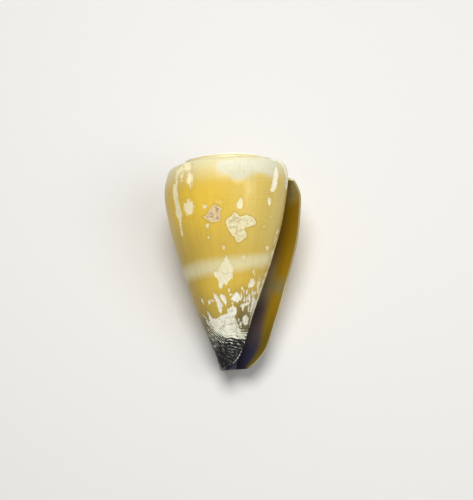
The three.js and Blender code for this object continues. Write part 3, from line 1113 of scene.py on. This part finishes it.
def cut_away(outside, cutters):
    """The outside with each cutter taken out of it, as a new mesh."""
    block = bpy.data.objects.new("uncut_shell", outside)
    helpers = [block]
    bpy.context.collection.objects.link(block)
    for cutter in cutters:
        helper = bpy.data.objects.new(cutter.name, cutter)
        helpers.append(helper)
        bpy.context.collection.objects.link(helper)
        cut = block.modifiers.new(cutter.name, "BOOLEAN")
        cut.operation = "DIFFERENCE"
        cut.object = helper
        cut.solver = "MANIFOLD"
        cut.material_mode = "TRANSFER"
    shown = block.evaluated_get(bpy.context.evaluated_depsgraph_get())
    mesh = bpy.data.meshes.new_from_object(shown)
    for helper in helpers:
        bpy.data.objects.remove(helper)
    if len(mesh.polygons) < len(outside.polygons) // 2 or len(mesh.materials) < 2:
        raise RuntimeError("The hollow could not be cut out of the shell.")
    return mesh


def merge_slivers(mesh):
    """Takes out the faces without area, and the points inside edges, that cutting leaves."""
    work = bmesh.new()
    work.from_mesh(mesh)
    bmesh.ops.dissolve_degenerate(work, edges=work.edges, dist=SLIVER)
    passing = [vert for vert in work.verts if len(vert.link_edges) == 2]
    bmesh.ops.dissolve_verts(work, verts=passing)
    work.to_mesh(mesh)
    work.free()


def carry_to_cut_edges(mesh, names):
    """Gives the points on a cut's edges the kept numbers of the outside points next to them."""
    starts = np.empty(len(mesh.polygons), int)
    totals = np.empty(len(mesh.polygons), int)
    finishes = np.empty(len(mesh.polygons), int)
    corners = np.empty(len(mesh.loops), int)
    mesh.polygons.foreach_get("loop_start", starts)
    mesh.polygons.foreach_get("loop_total", totals)
    mesh.polygons.foreach_get("material_index", finishes)
    mesh.loops.foreach_get("vertex_index", corners)
    following = np.arange(1, len(corners) + 1)
    following[starts + totals - 1] = starts
    of_lining = np.repeat(finishes > 0, totals)
    count = len(mesh.vertices)
    inner = np.bincount(corners[of_lining], minlength=count) > 0
    outer = np.bincount(corners[~of_lining], minlength=count) > 0
    waiting = inner & outer
    here, there = corners[~of_lining], corners[following[~of_lining]]
    here, there = np.append(here, there), np.append(there, here)
    values = {}
    for name in names:
        values[name] = np.empty(count, np.float32)
        mesh.attributes[name].data.foreach_get("value", values[name])
    while waiting.any():
        useful = waiting[here] & ~waiting[there]
        found = np.bincount(here[useful], minlength=count)
        reached = found > 0
        if not reached.any():
            break
        for name in names:
            sums = np.bincount(here[useful], weights=values[name][there[useful]], minlength=count)
            values[name][reached] = sums[reached] / found[reached]
        waiting &= ~reached
    for name in names:
        mesh.attributes[name].data.foreach_set("value", values[name])


def lying_pose(slope):
    """Turns the upright millimetres into the lying shell's metres, before it is moved into place."""
    return Matrix.Rotation(slope, 4, "X") @ Matrix.Scale(METRE, 4)


def lay_down(mesh, sizes):
    """Lays the shell on its back in the frame's box and gives the move that this took."""
    turned = lying_pose(sizes.axis_slope)
    mesh.transform(turned)
    points = np.empty(len(mesh.vertices) * 3)
    mesh.vertices.foreach_get("co", points)
    points = points.reshape(-1, 3)
    low, high = (np.array(corner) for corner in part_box("shell"))
    middle = (points.min(axis=0) + points.max(axis=0)) / 2
    move = np.array((*((low + high) / 2 - middle)[:2], high[2] - points[:, 2].max()))
    points += move
    points[:, 2] = np.maximum(points[:, 2], 0)
    mesh.vertices.foreach_set("co", points.ravel())
    mesh.update()
    return Matrix.Translation(move) @ turned


class Number:
    """A number in a shader. Arithmetic on it adds Math nodes."""

    def __init__(self, shader, socket):
        self.shader = shader
        self.socket = socket

    def math(self, operation, *others, settings=None):
        """A Math node's result."""
        values = dict(enumerate((self, *others)))
        made = self.shader.node("ShaderNodeMath", {"operation": operation, **(settings or {})}, values)
        return Number(self.shader, made.outputs[0])

    def __add__(self, other):
        return self.math("ADD", other)

    def __sub__(self, other):
        return self.math("SUBTRACT", other)

    def __mul__(self, other):
        return self.math("MULTIPLY", other)

    def __rsub__(self, other):
        return (self * -1) + other

    __radd__ = __add__
    __rmul__ = __mul__

    def step(self, low, high):
        """0 below low, 1 above high, smooth between; low may be the larger to turn it round."""
        values = {"Value": self, "From Min": low, "From Max": high}
        made = self.shader.node("ShaderNodeMapRange", {"interpolation_type": "SMOOTHSTEP"}, values)
        return Number(self.shader, made.outputs[0])

    def near(self, middle, half_width, softness):
        """1 where the number is within a half width of a middle."""
        return (self - middle).math("ABSOLUTE").step(half_width + softness, half_width - softness)

    def clamped(self):
        """The number held between 0 and 1."""
        return self.math("ADD", 0.0, settings={"use_clamp": True})


class Shader:
    """A material's nodes, ending in one Principled shader."""

    def __init__(self, name):
        self.material = bpy.data.materials.new(name)
        self.material.use_nodes = True
        self.tree = self.material.node_tree
        self.tree.nodes.clear()

    def plug(self, socket, value):
        """Links a socket or sets it to a constant."""
        if isinstance(value, Number):
            self.tree.links.new(value.socket, socket)
        elif isinstance(value, bpy.types.NodeSocket):
            self.tree.links.new(value, socket)
        elif hasattr(socket.default_value, "__len__") and len(socket.default_value) == 4:
            socket.default_value = (*tuple(value)[:3], 1.0)
        else:
            socket.default_value = value

    def node(self, kind, settings=None, inputs=None):
        """A node with its settings, then the values or links of its sockets."""
        made = self.tree.nodes.new(kind)
        for name, value in (settings or {}).items():
            setattr(made, name, value)
        for name, value in (inputs or {}).items():
            self.plug(made.inputs[name], value)
        return made

    def kept(self, name):
        """A number kept on the mesh's points."""
        made = self.node("ShaderNodeAttribute", {"attribute_name": name})
        return Number(self, made.outputs["Fac"])

    def place(self):
        """Where a point is on the object."""
        return self.node("ShaderNodeTexCoord").outputs["Object"]

    def vector(self, x, y):
        """A vector with nothing in its third part."""
        return self.node("ShaderNodeCombineXYZ", {}, {"X": x, "Y": y}).outputs[0]

    def lines(self, first, second, size, detail=2.0):
        """Noise drawn out into lines, by how often it changes across and down."""
        return self.noise(self.vector(first * size[0], second * size[1]), 1.0, detail)

    def noise(self, vector, scale, detail=2.0, rough=0.5):
        """Even noise from about -1 to 1."""
        values = {"Vector": vector, "Scale": scale, "Detail": detail, "Roughness": rough}
        made = Number(self, self.node("ShaderNodeTexNoise", {}, values).outputs[0])
        return (made - 0.5) * 4

    def cells(self, vector, scale):
        """Distance from the middles of scattered cells."""
        values = {"Vector": vector, "Scale": scale}
        return Number(self, self.node("ShaderNodeTexVoronoi", {}, values).outputs["Distance"])

    def mix(self, share, first, second, blend="MIX"):
        """A colour between two colours."""
        settings = {"data_type": "RGBA", "blend_type": blend}
        values = {MIX_SHARE: share, MIX_FIRST: first, MIX_SECOND: second}
        return self.node("ShaderNodeMix", settings, values).outputs[MIX_RESULT]

    def finish(self, colour, roughness, height, distance, **constants):
        """The finished material: what varies first, then constants on the shader's own sockets."""
        bump = self.node("ShaderNodeBump", {}, {"Height": height, "Distance": distance, "Strength": 1.0})
        values = {"Base Color": colour, "Roughness": roughness, "Normal": bump.outputs[0], **constants}
        surface = self.node("ShaderNodeBsdfPrincipled", {}, values)
        self.node("ShaderNodeOutputMaterial", {}, {"Surface": surface.outputs[0]})
        return self.material


def worn_lime_and_painted_light(colours):
    """The outside: glossy ochre with growth lines, a pale band, a dark ribbed base, chalk and crusts, with
    painted shade on the left limb, partly painted light in the gold and painted highlight streaks on the
    upper right.
    """
    s = Shader("worn_lime_and_painted_light")
    turn, down, height = s.kept("turn"), s.kept("down"), s.kept("level")
    place_at = s.place()
    fine_lines = s.lines(turn, down, GROWTH_LINES, 3.0)
    broad_lines = s.lines(turn, down, GROWTH_BANDS)
    spiral_lines = s.lines(turn, down, SPIRAL_LINES)
    streak = s.lines(turn, height, WEAR_STREAKS, 3.0)
    cloud = s.noise(place_at, CLOUDS, 3.0)
    speck = s.noise(place_at, SPECKS, 3.0, 0.6)
    mottle = s.noise(place_at, MOTTLES)

    # Partly painted light: the upper left front, where the light falls brightest, and a fainter zone lower
    # down go towards gold.
    gold_and_painted_light = down.near(0.27, 0.1, 0.12) * turn.step(0.84, 0.6)
    gold_and_painted_light = gold_and_painted_light + down.near(0.66, 0.04, 0.06) * turn.step(0.9, 0.7) * 0.4
    colour = s.mix(gold_and_painted_light, colours.ochre, colours.gold)
    straw_zone = turn.step(0.68, 0.9) * down.step(0.62, 0.4)
    colour = s.mix(straw_zone * 0.7, colour, colours.straw)
    # Painted shade: the left limb is darkened towards brown, most towards the narrow end.
    painted_limb_shade = turn.step(0.66, 0.54) * turn.step(0.3, 0.45)
    colour = s.mix(painted_limb_shade * (height.step(28, 18) * 0.5 + 0.25), colour, LIMB_PAINTED_SHADE)
    shoulder = (down + broad_lines * 0.015).step(0.21, 0.07)
    colour = s.mix(shoulder * 0.95, colour, colours.cream)
    colour = s.mix(down.step(0.055, 0.03) * 0.6, colour, colours.ochre)
    colour = s.mix(turn.step(0.99, 1.02) * down.step(0.1, 0.12) * 0.7, colour, SPIRE_TAN)
    band = (down + cloud * 0.005).near(PALE_BAND_DOWN, 0.032, 0.026)
    colour = s.mix(band * 0.85, colour, colours.cream)
    upper_right = turn.step(0.74, 0.84) * down.near(0.22, 0.1, 0.08)
    lines = broad_lines * 0.18 + fine_lines * 0.14 + spiral_lines * (upper_right * 0.16 + 0.05) + 0.5
    colour = s.mix(1.0, colour, s.mix(lines.clamped(), LINES_DARK, LINES_LIGHT), "MULTIPLY")

    low = (height + cloud * 1.4).step(17, 9)
    stain = low * turn.step(0.7, 0.8)
    colour = s.mix(low * 0.3, colour, LOW_OCHRE)
    left_low = (height + streak * 0.6).step(12.5, 8.5) * turn.step(0.66, 0.56)
    colour = s.mix(left_low * 0.88, colour, LEFT_OLIVE)
    colour = s.mix(stain * 0.92, colour, colours.stain)

    lowered = height + 1.5 - turn.near(0.625, 0.03, 0.05) * 0.9
    base = (lowered + cloud * 0.4).step(9.7, 8.1)
    grains = s.noise(s.vector(turn * 32, s.kept("rib") * 1.3), 1.0, 4.0, 0.7)
    crests = (s.kept("rib") * (2 * math.pi)).math("COSINE") * -0.5 + 0.5
    left_base = turn.step(0.7, 0.58) * height.step(4.5, 7.5)
    ground = s.mix(left_base * 0.8, colours.base, BROWN_BASE)
    # The ribs' crests go towards a lighter grey, more so higher up the narrow end.
    rib_light = (crests * (left_base * 0.4 + 0.5) + grains * 0.8 - 0.45).clamped()
    rib_light = rib_light * (lowered.step(3.5, 7.5) * 1.2 + 0.4)
    colour = s.mix(base, colour, s.mix(rib_light.clamped(), ground, RIB_CREST_GREY))

    kept_chalk = s.kept("chalk")
    ragged = speck * 0.75 + streak * (height.near(19.5, 3.5, 2) * 0.6 + 0.7)
    shadow = (kept_chalk + ragged).near(-0.9, 0.2, 0.6) * (streak * 0.4 + 0.4).clamped()
    colour = s.mix(shadow * 0.35 * (1 - base), colour, CHALK_SHADOW)
    broken = (crests + grains * 0.8 - 0.8) * lowered.step(10.6, 9.2) * 3
    chalk_mask = (kept_chalk + ragged + broken).step(-0.3, 0.5)
    # The crown's chalky bloom, with the painted highlight streaks on the upper right, which turn warm gold
    # lower down.
    bloom_and_highlight_share = (s.kept("bloom_and_painted_highlight") + streak * 1.8 + broad_lines * 1.4 + cloud * 1.4).step(-3.0, 4.0)
    low_chalk = height.step(15, 10)
    centre = turn.step(0.62, 0.7) * turn.step(0.87, 0.8)
    crown_right = turn.step(0.8, 0.87) * height.step(29, 33)
    chalk_tone = speck * 0.3 + streak * 0.3 + mottle * 0.45 + cloud * 0.25 + low_chalk * 0.12
    chalk_tone = ((chalk_tone + centre * 0.1 - 0.05) * (low_chalk * 0.5 + centre * 0.2 + 0.4)).clamped()
    chalk_tone = chalk_tone * (crown_right * -0.8 + 1)
    warmth = height.step(13, 20) * height.step(39.3, 38.6) * (crown_right * -0.55 + 0.85)
    chalk_colour = s.mix(warmth, colours.chalk, colours.cream_chalk)
    chalk_colour = s.mix(centre * warmth * 0.6, chalk_colour, CENTRE_CHALK)
    chalk_colour = s.mix(chalk_tone, chalk_colour, SOILED_CHALK)
    chalk_colour = s.mix(height.step(6.3, 4.8) * 0.5, chalk_colour, GREY_CHALK)
    lobes = s.mix((cloud * 0.5 + streak * 0.3 + 0.4).clamped(), PALE_BLOOM_AND_HIGHLIGHT, DULL_BLOOM_AND_HIGHLIGHT)
    bloom_and_highlight_colour = s.mix(height.step(35.3, 34.3), lobes, WARM_PAINTED_HIGHLIGHT)
    colour = s.mix(bloom_and_highlight_share * 0.85, colour, bloom_and_highlight_colour)
    colour = s.mix(chalk_mask * 0.97, colour, chalk_colour)
    colour = s.mix(turn.step(0.014, 0.006) * height.step(14, 18) * 0.9, colour, LIP_BROWN)
    edge = turn.step(0.0062, 0.0035) * height.step(0.4, 1.2) * height.step(22, 14)
    colour = s.mix(edge * (height.step(20, 14) * 0.35 + 0.55), colour, LIP_EDGE)

    pits = s.cells(place_at, PITS).step(0.42, 0.12)
    patchy = (mottle * 0.9 + speck * 0.4 + pits * 0.5 + 0.35).clamped()
    for name, crust, pit in (
        ("cream", colours.cream_crust, CREAM_PIT),
        ("pink", colours.pink_crust, PINK_PIT),
    ):
        field = s.kept(name) + speck * 0.6
        shadow = field.near(-0.9, 0.3, 0.7)
        colour = s.mix(shadow * 0.45, colour, CRUST_SHADOW)
        inner = field.step(0.6, 2.4)
        filled = s.mix(patchy * (inner * 0.8 + 0.1), crust, pit)
        colour = s.mix(field.step(-0.3, 0.3), colour, filled)
    crusted = s.kept("cream").math("MAXIMUM", s.kept("pink")).step(-0.5, 0.5)

    dull = (chalk_mask + bloom_and_highlight_share * 0.5 + crusted + base * 0.4).clamped()
    roughness = dull * 0.42 + 0.34 + cloud * 0.03
    relief = fine_lines * 0.03 + spiral_lines * 0.02 + (speck + streak) * chalk_mask * 0.08
    relief = relief + (speck * 0.3 - patchy * 0.5) * crusted + grains * base * 0.15
    gloss = {"Specular IOR Level": 0.28, "Coat Weight": 0.04, "Coat Roughness": 0.25}
    return s.finish(colour, roughness, relief, OUTSIDE_RELIEF, **gloss)


def mouth_lining(colours):
    """The inside: ochre near the lip, violet deep in, with the pale band showing through, and painted light
    on the tan halfway down and at the top of the mouth.
    """
    s = Shader("mouth_lining")
    turn, down, height = s.kept("turn"), s.kept("down"), s.kept("level")
    cloud = s.noise(s.place(), LINING_CLOUDS)
    lines = s.lines(turn, down, LINING_LINES)
    deep = (turn + cloud * 0.006 + height.step(11, 2) * 0.035).step(0.052, 0.112)
    colour = s.mix(height.step(26, 13), colours.mouth_brown, colours.mouth_violet)
    colour = s.mix(height.step(9, 3), colour, colours.mouth_navy)
    # Partly painted light: a lighter tan deep in, halfway down, lifts the shade that the hollow casts there.
    colour = s.mix(height.near(18.5, 4, 3) * 0.75, colour, MOUTH_TAN_PAINTED_LIGHT)
    light = s.mix(height.step(16, 3), colours.mouth_ochre, colours.mouth_olive)
    margin = turn.step(0.02, 0.0) * height.step(3, 7)
    colour = s.mix(deep, s.mix(margin * 0.35, light, colours.mouth_margin), colour)
    # Partly painted light: the top of the mouth goes towards a light olive where the hollow's shade falls.
    colour = s.mix(height.step(31.8, 36.5) * 0.85, colour, MOUTH_TOP_PAINTED_LIGHT)
    band = down.near(PALE_BAND_DOWN, 0.03, 0.036) * (turn.step(0.1, 0.03) * 0.25 + 0.55)
    colour = s.mix(band, colour, MOUTH_BAND)
    tip = turn.step(CANAL_MARK - 0.8, CANAL_MARK - 0.2) * 0.65 + height.step(2.6, 0.4) * 0.45
    colour = s.mix(tip.clamped(), colour, CANAL_DARK)
    shade = s.mix((lines * 0.25 + 0.5).clamped(), LINING_DARK, LINING_LIGHT)
    colour = s.mix(1.0, colour, shade, "MULTIPLY")
    gloss = {"Specular IOR Level": 0.4}
    return s.finish(colour, cloud * 0.03 + 0.34, lines * 0.03, PLAIN_RELIEF, **gloss)


def plain_floor(colour):
    """A smooth pale floor with a faint grain."""
    s = Shader("plain_floor")
    grain = s.noise(s.place(), FLOOR_GRAIN)
    shade = s.mix((grain * 0.02 + 0.04).clamped(), colour, FLOOR_SHADE)
    return s.finish(shade, grain * 0.02 + 0.8, grain * 0.03, PLAIN_RELIEF)


class OBJECT_OT_cone_shell(bpy.types.Operator):
    """Build the worn shell in place of the frame's plain one"""

    bl_idname = "object.cone_shell"
    bl_label = "Cone Shell"

    def execute(self, context):
        scene = context.scene
        sizes, colours = scene.cone_shell_sizes, scene.cone_shell_colours
        view = View(scene.cone_shell_stage)
        outside = outside_skin(view, sizes, worn_lime_and_painted_light(colours))
        lining = mouth_lining(colours)
        mesh = cut_away(outside, (hollow_skin(sizes, lining), canal_skin(lining)))
        merge_slivers(mesh)
        carry_to_cut_edges(mesh, ("turn", "down", "rib", "chalk", "bloom_and_painted_highlight", "cream", "pink"))
        level = np.empty(len(mesh.vertices) * 3)
        mesh.vertices.foreach_get("co", level)
        attribute = mesh.attributes.new("level", "FLOAT", "POINT")
        attribute.data.foreach_set("value", level.reshape(-1, 3)[:, 1].astype(np.float32))
        placed = lay_down(mesh, sizes)
        scene["cone_shell_place"] = [value for row in placed for value in row]
        mesh.name = "worn_shell"
        mesh.shade_smooth()
        mesh.set_sharp_from_angle(angle=math.radians(50))
        shell = bpy.data.objects.new("worn_shell", mesh)
        context.collection.objects.link(shell)
        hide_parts("shell")
        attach(shell, "root")
        return {"FINISHED"}


class OBJECT_OT_cone_shell_stage(bpy.types.Operator):
    """Lay a plain floor and set up the soft lights and the camera"""

    bl_idname = "object.cone_shell_stage"
    bl_label = "Stage"

    def execute(self, context):
        scene = context.scene
        stage = scene.cone_shell_stage
        self.floor(context, stage)
        values = scene["cone_shell_place"]
        placed = Matrix([values[i : i + 4] for i in range(0, 16, 4)])
        self.camera(context, View(stage), placed)
        self.light(context, "key_light", KEY_PLACE, KEY_SIZE, stage.light)
        self.light(context, "fill_light", FILL_PLACE, FILL_SIZE, stage.fill)
        world = bpy.data.worlds.new("studio")
        world.use_nodes = True
        sky = world.node_tree.nodes["Background"]
        sky.inputs["Color"].default_value = (1, 1, 1, 1)
        sky.inputs["Strength"].default_value = SKY_STRENGTH
        scene.world = world
        scene.view_settings.view_transform = "Standard"
        return {"FINISHED"}

    def floor(self, context, stage):
        """The plain floor, a hair under the shell."""
        half = FLOOR_HALF
        mesh = bpy.data.meshes.new("floor")
        corners = [(-half, -half, 0), (half, -half, 0), (half, half, 0), (-half, half, 0)]
        mesh.from_pydata(corners, [], [(0, 1, 2, 3)])
        mesh.materials.append(plain_floor(stage.floor))
        floor = bpy.data.objects.new("floor", mesh)
        floor.location.z = -FLOOR_DROP
        context.collection.objects.link(floor)

    def camera(self, context, view, placed):
        """The camera, at the picture's view of the shell where it now lies."""
        data = bpy.data.cameras.new("camera")
        data.sensor_width = SENSOR
        data.lens = view.lens
        data.clip_start = NEAREST_SEEN
        camera = bpy.data.objects.new("camera", data)
        context.collection.objects.link(camera)
        turn = placed.to_3x3().normalized()
        axes = [turn @ Vector(axis) for axis in (view.right, view.up, view.toward)]
        at = placed @ Vector(view.middle + view.toward * view.distance)
        camera.matrix_world = Matrix.Translation(at) @ Matrix(axes).transposed().to_4x4()
        context.scene.camera = camera

    def light(self, context, name, location, size, power):
        """A soft round light aimed at the shell."""
        data = bpy.data.lights.new(name, "AREA")
        data.shape = "DISK"
        data.size = size
        data.energy = power
        lamp = bpy.data.objects.new(name, data)
        lamp.location = location
        aim = Vector(LIGHTS_AIM) - Vector(location)
        lamp.rotation_euler = aim.to_track_quat("-Z", "Y").to_euler()
        context.collection.objects.link(lamp)


class VIEW3D_PT_cone_shell(bpy.types.Panel):
    """Lists the settings and the operators"""

    bl_label = "Cone Shell"
    bl_idname = "VIEW3D_PT_cone_shell"
    bl_space_type = "VIEW_3D"
    bl_region_type = "UI"
    bl_category = "Cone Shell"

    def draw(self, context):
        layout = self.layout
        scene = context.scene
        for settings in (scene.cone_shell_sizes, scene.cone_shell_colours, scene.cone_shell_stage):
            column = layout.column()
            for name in settings.bl_rna.properties.keys():
                if name not in ("rna_type", "name"):
                    column.prop(settings, name)
        for operator in OPERATORS:
            layout.operator(operator.bl_idname)


OPERATORS = (OBJECT_OT_cone_shell, OBJECT_OT_cone_shell_stage)
CLASSES = (ConeShellSizes, ConeShellColours, ConeShellStage, *OPERATORS, VIEW3D_PT_cone_shell)


def register():
    for cls in CLASSES:
        bpy.utils.register_class(cls)
    bpy.types.Scene.cone_shell_sizes = PointerProperty(type=ConeShellSizes)
    bpy.types.Scene.cone_shell_colours = PointerProperty(type=ConeShellColours)
    bpy.types.Scene.cone_shell_stage = PointerProperty(type=ConeShellStage)


def unregister():
    del bpy.types.Scene.cone_shell_stage
    del bpy.types.Scene.cone_shell_colours
    del bpy.types.Scene.cone_shell_sizes
    for cls in reversed(CLASSES):
        bpy.utils.unregister_class(cls)


def main():
    """Builds the shell and its stage"""
    register()
    bpy.ops.object.cone_shell()
    bpy.ops.object.cone_shell_stage()


if __name__ == "__main__":
    main()
